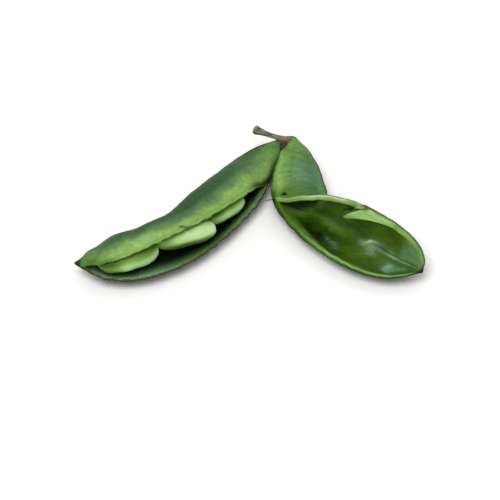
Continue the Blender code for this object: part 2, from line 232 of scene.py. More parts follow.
STALK_COLUMNS, FIBRE_COLUMNS = 56, 16
# A thin dry fibre: places and radii.
FIBRE = [
    ((9.4, 22.9, 5.8), 0.26), ((8.2, 22.8, 6.0), 0.20), ((7.0, 22.5, 6.0), 0.18),
    ((5.8, 22.0, 5.9), 0.06),
]


def smooth_through(points, places):
    """The Catmull-Rom curve through the points, at places from 0 (first point) to 1 (last)."""
    points = np.asarray(points, float)
    first = 2 * points[:1] - points[1:2]
    last = 2 * points[-1:] - points[-2:-1]
    run = np.vstack([first, points, last])
    spans = len(points) - 1
    place = np.clip(np.asarray(places, float), 0, 1) * spans
    index = np.minimum(place.astype(int), spans - 1)
    part = (place - index)[:, None]
    a, b, c, d = run[index], run[index + 1], run[index + 2], run[index + 3]
    bend = (2 * a - 5 * b + 4 * c - d) * part**2
    turn = (3 * b - a - 3 * c + d) * part**3
    return 0.5 * (2 * b + (c - a) * part + bend + turn)


def unit(vectors):
    """The vectors at length 1."""
    return vectors / np.maximum(np.linalg.norm(vectors, axis=-1, keepdims=True), 1e-12)


def upward(vectors):
    """The vectors at length 1, each turned over where it points down."""
    return unit(vectors) * np.sign(vectors[..., 2:])


def ease(value, reach=1):
    """0 below 0, 1 above the reach, and a smooth step in between."""
    value = np.clip(value / reach, 0, 1)
    return value * value * (3 - 2 * value)


def hump(value, reach):
    """A bell curve: 1 at 0, and about a third at the reach."""
    return np.exp(-((value / reach) ** 2))


def waves(places, length, seed, count=14):
    """Smooth noise of about -1 to 1: sine waves of about one length, in random directions."""
    draw = np.random.default_rng(seed)
    heading = unit(draw.normal(size=(count, places.shape[-1])))
    number = 2 * np.pi / (length * draw.uniform(0.7, 1.4, count))
    phase = draw.uniform(0, 2 * np.pi, count)
    return np.sin(places @ (heading * number[:, None]).T + phase).sum(-1) / np.sqrt(count)


def bulge(places, plumpness, beans_at):
    """Bulge of a valve as a share of its width: fuller over each bean, round at neck and beak."""
    over_beans = sum(hump(places - bean, BEAN_SWELL_REACH) for bean in beans_at)
    body = plumpness * (BETWEEN_BEANS + OVER_A_BEAN * over_beans)
    to_end = ease(1 - np.minimum(places, 1 - places) / END_REACH)
    return body + (END_PLUMPNESS - body) * to_end


def run_along(curves, extra=0):
    """The distance along each row's curve at its points. Every step counts as so much longer."""
    steps = np.linalg.norm(np.diff(curves[..., :3], axis=1), axis=2) + extra
    return np.concatenate([np.zeros((len(curves), 1)), np.cumsum(steps, axis=1)], axis=1)


def evenly(curves, count):
    """Each row's curve with its points moved to even steps along it, smaller towards both ends.

    The array is rows by points by values, and the first three values are the place.
    """
    run = run_along(curves, 1e-9)
    run /= run[:, -1:]
    apart = 2.0 * np.arange(len(curves))[:, None]
    step = np.linspace(0, 1, count)
    wanted = ((step - EDGE_DENSITY * np.sin(2 * np.pi * step) / (2 * np.pi))[None] + apart).ravel()
    known = (run + apart).ravel()
    moved = [np.interp(wanted, known, curves[..., k].ravel()) for k in range(curves.shape[2])]
    return np.stack(moved, axis=1).reshape(len(curves), count, -1)


def arch(start, end, out, depth, left, keel):
    """Points from start to end of each section, bulged by depth along out, with their share.

    They stop at the share of the width that is left of the valve. The height is a round arch. Where
    the section has a keel, a part of it is a V with a slightly rounded foot. The keel is its part
    and the share of the width at which the foot lies.
    """
    step = (1 - np.cos(np.linspace(0, np.pi, DENSE + 1))) / 2
    share = step[None, :, None] * left[:, None, None]
    height = (4 * share * (1 - share)) ** VALVE_FULLNESS
    part, foot = (value[:, None, None] for value in keel)
    side = np.where(share < foot, (foot - share) / foot, (share - foot) / (1 - foot))
    top = np.hypot(1, KEEL_ROUNDNESS)
    fold = (top - np.hypot(side, KEEL_ROUNDNESS)) / (top - KEEL_ROUNDNESS)
    height += part * (fold - height)
    across = start[:, None] + share * (end - start)[:, None]
    place = across + out[:, None] * depth[:, None, None] * height
    return np.concatenate([place, share], axis=2)


def both_valves(upper, lower):
    """One curve over both valves, with the share and the distance from the far seam as values.

    Both are counted below 0 on the upper valve.
    """
    turned = upper[:, :0:-1].copy()
    turned[..., 3] *= -1
    curve = np.concatenate([turned, lower], axis=1)
    run = run_along(curve)
    run -= run[:, DENSE : DENSE + 1]
    return np.concatenate([curve, run[..., None]], axis=2)


class Pod:
    """The outer skin and the face of the hollow of one pod, section by section.

    Each is an array of rows along the pod by columns from the upper valve's free edge, over the
    far seam, to the lower valve's. A point holds its place, its share across the valve, and its
    distance from the far seam.

    The lines are the far seam and the free edges of the lower and the upper valve. Also given for
    each section are its plumpness, the share left of the upper valve, how open it is, its keel, the
    thickness of its rims (or one thickness for all) and the breadth of the rims' colour. The hollow
    has four numbers: where it starts, its taper there, where it ends and its taper there.
    """

    def __init__(self, lines, plump, left, opening, keel, rims, hollow, band):
        far, lower, upper = lines
        self.band = band
        rim_upper, rim_lower, rim_far = rims
        places = np.linspace(0, 1, ROWS)
        along = np.gradient((far + lower) / 2, axis=0)
        narrow = np.minimum(1, np.linalg.norm(lower - far, axis=1) / NARROW_VALVE)
        inner_far = far + (rim_far * narrow)[:, None] * unit(unit(lower - far) + unit(upper - far))
        self.up = upward(np.cross(upper - far, along))
        outer, inner = [], []
        for edge, out, rim, stays in (
            (upper, self.up, rim_upper, left),
            (lower, -upward(np.cross(lower - far, along)), rim_lower, np.ones(ROWS)),
        ):
            width = np.linalg.norm(edge - far, axis=1)
            outer.append(arch(far, edge, out, plump * width, stays, keel))
            slope = np.sqrt(0.5) * (rim * narrow)
            rib = SUTURE_RIB * narrow
            inwards = (rib + (slope - rib) * opening)[:, None]
            near = edge - unit(edge - far) * inwards - out * (slope * opening)[:, None]
            depth = plump * width - POD_WALL * narrow + slope * opening / 2
            reach = (stays * width - rim_far * narrow) / np.linalg.norm(near - inner_far, axis=1)
            share = np.where(stays < 1, np.clip(reach, 0, 1), 1)
            depth = np.maximum(depth, THINNEST_HOLLOW)
            inner.append(arch(inner_far, near, out, depth, share, keel))
        outer, inner = both_valves(*outer), both_valves(*inner)
        middle = (far + (lower + upper) / 2) / 2
        hollow_from, slope_in, hollow_to, slope_out = hollow
        to_end = np.minimum((places - hollow_from) / slope_in, (hollow_to - places) / slope_out)
        room = np.sqrt(np.clip(1 - (1 - np.clip(to_end, 0, 1)) ** 2, 0, 1))[:, None, None]
        inner[..., :3] = middle[:, None] + room * (inner[..., :3] - middle[:, None])
        self.opening, self.to_upper, self.to_lower = opening, unit(upper - far), unit(lower - far)
        self.outer, self.inner = evenly(outer, OUTER_STEPS + 1), evenly(inner, INNER_STEPS + 1)
        self.outer[..., 2] = np.maximum(self.outer[..., 2], 0)
        self.inner[..., 2] = np.maximum(self.inner[..., 2], BELLY_WALL)
        self.hollow = (places >= hollow_from) & (places <= hollow_to)
        self.close_hollow()
        self.along_mm = run_along((far + lower)[None] / 2)[0]

    def close_hollow(self):
        """Draws the first and the last section of the hollow together to a point."""
        rows = np.flatnonzero(self.hollow)
        for row in (rows[0], rows[-1]):
            if row < ROWS - 1:
                self.inner[row, :, :3] = self.inner[row, :, :3].mean(axis=0)

    def edge_mm(self, skin):
        """Distance of a skin's points from the nearer of its two ends, in millimetres."""
        run = skin[..., 4]
        return np.minimum(run - run[:, :1], run[:, -1:] - run)

    def push(self, skin, height, outwards):
        """Moves a skin's points by a height in millimetres, out of the wall.

        Where the near seam is closed, both ends of the section stay where they are.
        """
        place = skin[..., :3]
        normal = unit(np.cross(np.gradient(place, axis=1), np.gradient(place, axis=0)))
        lowest = np.argmin(place[ROWS // 2, :, 2])
        normal *= -outwards * np.sign(normal[ROWS // 2, lowest, 2])
        at_end = ease(self.edge_mm(skin), 1.5)
        stays = self.opening[:, None] + (1 - self.opening[:, None]) * at_end
        place += normal * (height * stays)[..., None]

    def ruffle(self, amount, seed):
        """Makes the free edges uneven: soft waves along them that die out towards the far seam."""
        long = self.along_mm[:, None]
        for column, way, number in ((0, self.to_upper, seed), (-1, self.to_lower, seed + 10)):
            in_plane, lift = (
                amount * self.opening * (waves(long, 6.0, k) + 0.35 * waves(long, 1.8, k + 1))
                for k in (number, number + 4)
            )
            moved = (in_plane[:, None] * way + lift[:, None] * self.up)[:, None]
            for skin in (self.outer, self.inner):
                near = hump(skin[..., 4] - skin[:, column, 4][:, None], 2.5)[..., None]
                skin[..., :3] += near * moved

    def rim(self, start, end):
        """A rounded rim: a Bezier curve that leaves both skins the way they end."""
        size = np.linalg.norm(end[0] - start[0], axis=1) * self.opening * RIM_ROUNDNESS
        leaves = start[0] + unit(start[0] - start[1]) * size[:, None]
        arrives = end[0] + unit(end[0] - end[1]) * size[:, None]
        step = np.linspace(0, 1, RIM_STEPS + 1)[None, 1:-1, None]
        share = ((1 - step) ** 3, 3 * (1 - step) ** 2 * step, 3 * (1 - step) * step**2, step**3)
        points = (start[0], leaves, arrives, end[0])
        return sum(part * point[:, None] for part, point in zip(share, points))

    def loops(self):
        """Every section as one closed loop: outer skin, lower rim, face of the hollow, upper rim.

        Returns the places, and for each point what its finish needs to know: how far along the pod
        it is in millimetres, its share across the valve, how far through the wall it is, its
        distance from the free edge and from the far seam, and how open its section is.
        """
        self.close_hollow()
        outer, inner = self.outer, self.inner
        low = self.rim((outer[:, -1, :3], outer[:, -3, :3]), (inner[:, -1, :3], inner[:, -3, :3]))
        top = self.rim((inner[:, 0, :3], inner[:, 2, :3]), (outer[:, 0, :3], outer[:, 2, :3]))
        place = np.concatenate([outer[..., :3], low, inner[:, ::-1, :3], top], axis=1)
        flat = np.ones((ROWS, RIM_STEPS - 1))
        step = flat * np.arange(1, RIM_STEPS) / RIM_STEPS
        full = np.ones(place.shape[:2])
        know = {
            "along": full * self.along_mm[:, None],
            "across": [outer[..., 3], flat * outer[:, -1:, 3], inner[:, ::-1, 3],
                       flat * outer[:, :1, 3]],
            "inside": [0 * outer[..., 3], step, 0 * inner[..., 3] + 1, 1 - step],
            "edge": [self.edge_mm(outer), 0 * flat, self.edge_mm(inner)[:, ::-1], 0 * flat],
            "band": full * self.band[:, None],
            "far": [np.abs(outer[..., 4]), flat * outer[:, -1:, 4], np.abs(inner[:, ::-1, 4]),
                    flat * -outer[:, :1, 4]],
            "openness": full * self.opening[:, None],
        }
        for title, value in know.items():
            if isinstance(value, list):
                know[title] = np.concatenate(value, axis=1)
        place[..., 2] = np.maximum(place[..., 2], 0)
        return place, know

    def kept(self):
        """Which faces of the loops are skin: the hollow's, and rims only where it is open."""
        outside = np.ones((ROWS - 1, OUTER_STEPS), bool)
        opened = (self.opening[:-1] > 0) | (self.opening[1:] > 0)
        hollow = self.hollow[:-1] & self.hollow[1:]
        rim = np.repeat(opened[:, None], RIM_STEPS, axis=1)
        inside = np.repeat(hollow[:, None], INNER_STEPS, axis=1)
        return np.concatenate([outside, rim, inside, rim], axis=1)


def capped(place, know, kept, tips):
    """Adds rows that close both ends of the loops, each a dome of a given length and a point.

    The added rows are the end row drawn in to its middle by a quarter circle.
    """
    def longer(old, end, rows=None):
        rows = np.repeat(old[end][None], CAP_STEPS, axis=0) if rows is None else rows
        return np.concatenate([rows[::-1], old] if end == 0 else [old, rows])

    turn = np.linspace(0, np.pi / 2, CAP_STEPS + 1)[1:, None, None]
    for end, length in zip((0, -1), tips):
        ring = place[end]
        middle = ring.mean(axis=0)
        heading = unit(middle - place[(3, -4)[end]].mean(axis=0))
        rows = middle + (ring - middle) * np.cos(turn) + heading * length * np.sin(turn)
        rows[-1] = middle + heading * length
        place, kept = longer(place, end, rows), longer(kept, end)
        know = {title: longer(value, end) for title, value in know.items()}
    return place, know, kept


def new_piece(name, points, faces, values, material, nodes):
    """Makes one piece of the object: a closed, smooth mesh that rides on the root body.

    Points that lie on each other are welded, which closes seams and poles. Faces that then have no
    area left are dropped. If the shell is inside out, it is turned.
    """
    mesh = bpy.data.meshes.new(name)
    places = (points - np.array([*CENTRE, 0])).reshape(-1, 3) * MM
    key = np.round(places / WELD).astype(np.int64)
    _, first, again = np.unique(key, axis=0, return_index=True, return_inverse=True)
    places = places[first]
    faces = again.reshape(-1)[faces]
    doubled = (faces == np.roll(faces, 1, axis=1)).sum(axis=1)
    crossed = (faces[:, 0] == faces[:, 2]) | (faces[:, 1] == faces[:, 3])
    faces = faces[(doubled <= 1) & ~crossed]
    a, b, c, d = places[faces].transpose(1, 0, 2)
    volume = (np.cross(b - a, c - a) * a).sum() + (np.cross(c - a, d - a) * a).sum()
    if volume < 0:
        faces = faces[:, ::-1]
    same = faces == np.roll(faces, 1, axis=1)
    sides = 4 - same.sum(axis=1)
    corners = faces[~same]
    starts = np.concatenate([[0], np.cumsum(sides)[:-1]])
    mesh.vertices.add(len(places))
    mesh.vertices.foreach_set("co", places.astype(np.float32).ravel())
    mesh.loops.add(len(corners))
    mesh.loops.foreach_set("vertex_index", corners.astype(np.int32))
    mesh.polygons.add(len(sides))
    mesh.polygons.foreach_set("loop_start", starts.astype(np.int32))
    mesh.update(calc_edges=True)
    mesh.shade_smooth()
    for title, value in values.items():
        kind, part = ("FLOAT", "value") if value.ndim < points.ndim else ("FLOAT_VECTOR", "vector")
        layer = mesh.attributes.new(title, kind, "POINT")
        value = value.reshape(len(key), -1)[first]
        layer.data.foreach_set(part, value.astype(np.float32).ravel())
    piece = bpy.data.objects.new(name, mesh)
    bpy.context.scene.collection.objects.link(piece)
    mesh.materials.append(material)
    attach(piece, "root")
    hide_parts(*nodes)


def grid_faces(rows, columns, kept=None, start=0):
    """Four-cornered faces of a grid whose columns run round and meet, numbered from start."""
    corner = np.arange(rows * columns).reshape(rows, columns) + start
    after = np.roll(corner, -1, axis=1)
    faces = np.stack([corner[:-1], corner[1:], after[1:], after[:-1]], axis=-1)
    return faces.reshape(-1, 4) if kept is None else faces[kept]


def to_linear(code):
    """An sRGB colour written as #rrggbb, as linear red, green, blue and alpha."""
    parts = [int(code[k : k + 2], 16) / 255 for k in (1, 3, 5)]
    linear = [p / 12.92 if p <= 0.04045 else ((p + 0.055) / 1.055) ** 2.4 for p in parts]
    return (*linear, 1)


def fill(node, inputs):
    """Sets a node's inputs. Each is a value, a colour code or another node's socket."""
    for name, value in inputs.items():
        if isinstance(value, bpy.types.NodeSocket):
            node.id_data.links.new(value, node.inputs[name])
        else:
            node.inputs[name].default_value = to_linear(value) if isinstance(value, str) else value


def add_node(tree, kind, inputs=None, out=0, stops=None, **settings):
    """Adds a node with its inputs and settings. Returns one output, or all where out is None."""
    made = tree.nodes.new("ShaderNode" + kind)
    for name, value in settings.items():
        setattr(made, name, value)
    fill(made, inputs or {})
    for number, (where, code) in enumerate((stops or {}).items()):
        elements = made.color_ramp.elements
        stop = elements[number] if number < 2 else elements.new(where)
        stop.position = where
        stop.color = to_linear(code)
    return made.outputs if out is None else made.outputs[out]


def new_finish(name):
    """A new material, with its shader and the function that adds nodes to it."""
    material = bpy.data.materials.new(name)
    material.use_nodes = True
    tree = material.node_tree
    return material, tree.nodes["Principled BSDF"], partial(add_node, tree)


def per_mm(size):
    """A noise texture's scale, so that its marks are about so many millimetres apart."""
    return 1 / (size * MM)


def fresh_pod_skin(name):
    """Skin of a fresh bean pod: leathery green, with a thin dull wax on the outside.

    The outside is dark blue-green towards the far seam and yellow-green towards the free edge. The
    lining of the hollow is darker, wet and glossy; its pale patches are painted sheen and glints,
    tinted blue in two places as a painted reflection. Painted shade darkens hollows, creases, gaps
    and undersides. The thick rims are streaked lengthwise and speckled where they have dried.
    """
    material, shader, add = new_finish(name)
    place = add("TexCoord", out="Object")
    skin, fibre, *vectors = (
        add("Attribute", out="Vector", attribute_name=title)
        for title in ("skin", "fibre", "lie", "edge", "marks", "tints")
    )
    lie, edge, marks, tints = (add("SeparateXYZ", {0: v}, out=None) for v in vectors)
    patches, mottle, crumbs, pebbles = (
        add("TexNoise", {
            "Vector": place, "Scale": per_mm(size), "Detail": detail, "Roughness": rough
        }) for size, detail, rough in ((10, 2, 0.5), (2.0, 4, 0.6), (0.7, 3, 0.5), (0.8, 3, 0.5))
    )
    lines = add("TexNoise", {"Vector": skin, "Scale": 1.0, "Detail": 2.0, "Distortion": 0.3})
    streaks = add("TexNoise", {"Vector": fibre, "Scale": 1.0, "Detail": 3.0})
    tone = lie["X"]
    for noise in (patches, mottle):
        tone = add("Math", {0: noise, 1: 0.16, 2: tone}, operation="MULTIPLY_ADD")
    tone = add("MapRange", {"Value": tone, 1: 0.16, 2: 1.16})
    outside = add(
        "ValToRGB", {0: tone},
        stops={0.0: "#14320f", 1.0: "#98bb74", 0.2: "#294d22", 0.4: "#3f6331",
               0.55: "#53763c", 0.75: "#7ba150"},
    )
    lining = add(
        "ValToRGB", {0: tone},
        stops={0.0: "#0a1600", 1.0: "#7f9f60", 0.25: "#1e3a00", 0.5: "#385908",
               0.75: "#587a30"},
    )
    body = add("Mix", {0: lie["Z"], 6: outside, 7: lining}, out=2, data_type="RGBA")
    freckled = add("MapRange", {"Value": mottle, 1: 0.3, 2: 0.7, 3: 0.90, 4: 1.10})
    lined = add("MapRange", {"Value": lines, 1: 0.3, 2: 0.7, 3: 0.91, 4: 1.09})
    worked = add("Math", {0: freckled, 1: lined}, operation="MULTIPLY")
    layers = add(
        "Mix", {0: 1.0, 6: body, 7: worked}, out=2, data_type="RGBA", blend_type="MULTIPLY"
    )
    combed = add("Math", {0: streaks, 1: 0.5, 2: edge["Y"]}, operation="MULTIPLY_ADD")
    edge_tone = add("MapRange", {"Value": combed, 1: 0.25, 2: 1.25})
    rim = add(
        "ValToRGB", {0: edge_tone},
        stops={0.0: "#192c06", 1.0: "#b2d08c", 0.3: "#3b600e", 0.45: "#50761c",
               0.6: "#668d3c", 0.85: "#8bb35f"},
    )
    dry = add("ValToRGB", {0: crumbs}, stops={0.35: "#2c3a20", 0.65: "#8c9c78"})
    crumbled = add("MapRange", {"Value": crumbs, 1: 0.40, 2: 0.62})
    dried = add("Math", {0: crumbled, 1: edge["Z"]}, operation="MULTIPLY")
    cloudy = add("MapRange", {"Value": lines, 1: 0.35, 2: 0.65, 3: 0.6, 4: 1.2})
    bloom_and_reflection = add("Math", {0: tints["X"], 1: cloudy}, operation="MULTIPLY")
    # Layers: a blue tint, the wax bloom's colour, partly a painted reflection on the lining; yellow;
    # pale marks, which on the kinked pod's lining are painted sheen and glints; the rims; dried
    # specks; dark marks, mostly painted shade; the seam line; and the brown tips.
    for share, colour in (
        (bloom_and_reflection, "#527f68"), (tints["Y"], "#4f6a12"), (marks["Y"], "#a5bea0"), (edge["X"], rim),
        (dried, dry), (marks["X"], "#0c1706"), (tints["Z"], "#393c2c"), (marks["Z"], "#2a2416"),
    ):
        layers = add("Mix", {0: share, 6: layers, 7: colour}, out=2, data_type="RGBA")
    rough = add("MapRange", {"Value": lie["Y"], 3: 0.60, 4: 0.20})
    grain = add("Math", {0: lines, 1: 0.3, 2: pebbles}, operation="MULTIPLY_ADD")
    bump = add("Bump", {"Height": grain, "Strength": 0.35, "Distance": 0.08 * MM})
    fill(shader, {
        "Base Color": layers, "Roughness": rough, "Normal": bump, "IOR": 1.42,
        "Specular IOR Level": 0.12,
    })
    return material


def fresh_bean_skin():
    """Seed coat of a fresh lima bean: smooth, moist and slightly see-through.

    It is pale green at its back. Painted shade turns it olive on its top, towards the eye and on
    its underside, and a painted highlight lightens its right end.
    """
    material, shader, add = new_finish("fresh_bean_skin")
    place = add("TexCoord", out="Object")
    lie = add("Attribute", out="Vector", attribute_name="lie")
    lie = add("SeparateXYZ", {0: lie}, out=None)
    patches, fine = (
        add("TexNoise", {"Vector": place, "Scale": per_mm(size), "Detail": 3.0})
        for size in (5, 1.5)
    )
    toned = add("Math", {0: patches, 1: 0.30, 2: lie["X"]}, operation="MULTIPLY_ADD")
    tone = add("MapRange", {"Value": toned, 1: 0.15, 2: 1.15})
    coat = add(
        "ValToRGB", {0: tone},
        stops={0.0: "#3a5414", 1.0: "#b8dc9c", 0.3: "#5d8626", 0.55: "#82ab52",
               0.8: "#a2ca80"},
    )
    eye = add("Mix", {0: lie["Y"], 6: coat, 7: "#e3e6c8"}, out=2, data_type="RGBA")
    bump = add("Bump", {"Height": fine, "Strength": 0.2, "Distance": 0.1 * MM})
    fill(shader, {
        "Base Color": eye, "Normal": bump, "Roughness": 0.38, "IOR": 1.40,
        "Specular IOR Level": 0.4, "Subsurface Weight": 0.15,
        "Subsurface Radius": (0.6, 1.0, 0.35), "Subsurface Scale": 1.0 * MM,
    })
    return material


def dry_stalk_bark():
    """Bark of a drying bean stalk: olive brown, ribbed lengthwise, dull, pale where broken."""
    material, shader, add = new_finish("dry_stalk_bark")
    lie = add("Attribute", out="Vector", attribute_name="lie")
    lie = add("SeparateXYZ", {0: lie}, out=None)
    skin = add("Attribute", out="Vector", attribute_name="skin")
    # dim darkens the bark towards near black: painted shade on the stalk's underside and on the neck
    # between the pods, and the loose fibre's own dark grey.
    dim = add("Attribute", out="Fac", attribute_name="dim")
    ribs = add("TexNoise", {"Vector": skin, "Scale": 1.0, "Detail": 4.0, "Roughness": 0.65})
    layers = add(
        "ValToRGB", {0: ribs},
        stops={0.34: "#2c2615", 0.70: "#a39c7a", 0.50: "#665f42"},
    )
    for share, colour in (
        (lie["X"], "#7d6658"), (lie["Y"], "#b3ac88"), (lie["Z"], "#5f7a3c"), (dim, "#1d1d0e"),
    ):
        layers = add("Mix", {0: share, 6: layers, 7: colour}, out=2, data_type="RGBA")
    bump = add("Bump", {"Height": ribs, "Strength": 0.6, "Distance": 0.2 * MM})
    fill(shader, {"Base Color": layers, "Normal": bump, "Roughness": 0.78})
    return material


def within(value, low, high, soft):
    """1 between low and high, 0 outside them, with soft steps."""
    return ease(value - low, soft) * ease(high - value, soft)


def limited(*parts):
    """Up to three marks of one attribute, each between 0 and 1."""
    return np.clip(np.broadcast_arrays(*parts), 0, 1)


def pod_piece(name, node, pod, material, tips, painted):
    """Joins a pod's skins to one closed piece, and tells its finish where each point lies.

    The places along and across are also given unevenly bent, for marks that aren't straight.
    """
    place, know = pod.loops()
    place, know, kept = capped(place, know, pod.kept(), tips)
    for title, amount, seed in (("along", 1.3, 80), ("across", 0.04, 90)):
        bend = waves(place, 8.0, seed) + 0.4 * waves(place, 3.0, seed + 1)
        know["bent_" + title] = know[title] + amount * bend
    values = {
        "skin": (know["along"] / 0.9, know["across"] * 12, know["inside"]),
        "fibre": (know["along"] / 5, know["edge"] / 0.4, know["inside"] * 3),
        **painted(place, **know),
    }
    for title, parts in values.items():
        values[title] = np.stack(np.broadcast_arrays(*parts), axis=-1)
    faces = grid_faces(*place.shape[:2], kept)
    new_piece(name, place, faces, values, material, [node])


def open_pod(material):
    """The pod that holds the beans."""
    places = np.linspace(0, 1, ROWS)
    opened = ease(places - OPEN_FROM, OPENS_OVER) * ease(OPEN_TO - places, CLOSES_OVER)
    opened[opened < SHUT] = 0
    far, lower, upper = (
        smooth_through(line, places) for line in (OPEN_FAR_SEAM, OPEN_LOWER_EDGE, OPEN_UPPER_EDGE)
    )
    upper = lower + opened[:, None] * (upper - lower)
    opening = ease(np.linalg.norm(upper - lower, axis=1), FULL_RIM_GAPE)
    whole = np.ones(ROWS)
    pod = Pod(
        (far, lower, upper), bulge(places, OPEN_PLUMPNESS, OPEN_BEANS_AT), whole, opening,
        (0 * whole, 0.5 * whole), (0.5 * RIM_THICKNESS, 0.45 * RIM_THICKNESS, SUTURE_RIB),
        OPEN_HOLLOW, whole,
    )
    pod.ruffle(0.14, 40)
    outer, inner = pod.outer, pod.inner
    from_seam = np.abs(outer[..., 4])
    relief = 0.10 * waves(outer[..., :3], 9.0, 1) + 0.03 * waves(outer[..., :3], 3.0, 2)
    relief += 0.35 * hump(from_seam, 0.5) - 0.15 * hump(from_seam - 1.2, 0.5)
    from_tear = outer[..., 1] - np.interp(outer[..., 0], *SPLIT)
    at_tear = (outer[..., 3] < 0) * within(outer[..., 0], -30.5, -21.0, 3.0)
    lifted = 0.25 * ease(from_tear + 0.2, 0.4) * hump(np.maximum(from_tear, 0), 2.0)
    pod.push(outer, relief + at_tear * (lifted - 0.2 * hump(from_tear + 0.35, 0.4)), 1)
    pod.push(inner, 0.08 * waves(inner[..., :3], 3.0, 3), -1)

    def painted(place, along, across, inside, edge, far, openness, bent_across, **others):
        """The tone, the rims and the marks of the open pod's skin, each from 0 to 1."""
        far_tone, near_tone, reach, broad, pale_tone, lower_rim, shoulder_at = (
            np.interp(along, *row) for row in OPEN_ALONG.values()
        )
        outside, lower = 1 - inside, ease(across, 0.2)
        above, below = outside * (1 - lower), inside * lower
        x, y = place[..., 0], place[..., 1]
        wander = 14 * (bent_across - across)
        from_light = ease(edge + wander - reach + 4.6, 9.2)
        upper_tone = near_tone + (far_tone - near_tone) * from_light - 0.14 * hump(edge, 0.9)
        # The lower valve's outside is dark: painted shade on the side that faces down.
        outer_tone = upper_tone + (0.20 - upper_tone) * lower
        grain = waves(np.stack([along, 4 * across], axis=-1), 1.5, 95)
        grain *= 0.5 + 0.5 * waves(place, 5.0, 97)
        # The lining is pale at the rim and dark deeper in: painted shade under the beans.
        pale = np.interp(edge / broad, *PALE_FROM_RIM) * pale_tone * (1 + 0.10 * grain)
        inner_tone = 0.08 + lower * (pale + 0.26 * ease(8.0 - edge / broad, 4.0))
        rim = ease(1.2 - edge, 0.8) * openness * (1 - 0.4 * below)
        # Painted shade: the lower rim's outer, lower side and the upper rim's inner half, which
        # faces down onto the beans, are darker.
        lower_rim -= 0.40 * ease(0.6 - inside, 0.3)
        upper_rim = 0.72 - 0.25 * ease(along - 92, 10) - 0.24 * ease(inside - 0.3, 0.3)
        torn = (across < 0) * outside * hump(y - np.interp(x, *SPLIT), 0.36)
        torn *= within(x, -28.8, -20.8, 1.6)
        beside = outside * ease(3.4 - edge, 3.0) * within(along, 3.0, 30.0, 9.0)
        under_beans = below * ease(edge / broad - 5.2, 3.0) * within(along, 18, 102, 5)
        tip, neck = ease(along - along.max() + 2.4, 1.6), ease(1.0 - along)
        # Painted shade darkens the lower valve's outside, the free edges in the gap beside the
        # kinked pod, the lining under the beans as a contact shadow, and the lower rim's outer side.
        # The tear is a dark line, and the beak's tip is dark in its own colour.
        dark = (
            outside * lower * (0.6 + 0.3 * ease(40 - along, 20)) + 0.9 * beside + 0.80 * torn
            + 0.85 * under_beans + 0.7 * tip + 0.6 * lower * rim * ease(0.55 - inside, 0.3)
        )
        at_tip = ease(along - 66, 14)
        blue = 0.12 * above * from_light * ease(along, 30)
        blue += 0.6 * below * at_tip * hump(edge - 4.6, 2.0)
        yellow = 0.35 * above * hump(edge, 1.2) * openness
        far_ends = 0.22 * at_tip + 0.16 * ease(44 - along, 12)
        greyed = below * (0.05 + (0.12 + far_ends) * hump(edge - 1.8, 1.4)) * (1 + 0.3 * grain)
        greyed += 0.08 * above * hump(from_light - 0.5, 0.35)
        shoulder = outside * (across < 0) * hump(far - shoulder_at, 1.4)
        margin = ease(4.2 - far, 1.2) * (0.8 + 0.3 * waves(place, 2.0, 94))
        jagged = ease(0.85 + 0.12 * waves(place, 1.6, 99) - inside, 0.2)
        seam = np.max([
            0.85 * outside * hump(np.maximum(far - 0.7, 0), 0.8), 0.30 * shoulder,
            0.62 * outside * margin, 0.9 * lower * openness * jagged * ease(1.0 - edge, 0.5),
        ], axis=0)
        return {
            "lie": (outer_tone * outside + inner_tone * inside, 0.35 * inside, inside),
            "edge": (rim, upper_rim + (lower_rim - upper_rim) * lower, 0.8 * lower * rim),
            "marks": limited(dark, greyed, 0.8 * tip + 0.4 * neck),
            "tints": limited(blue, yellow, seam),
        }

    pod_piece("open_pod_skin", "open_pod", pod, material, (0.6, 0.4), painted)


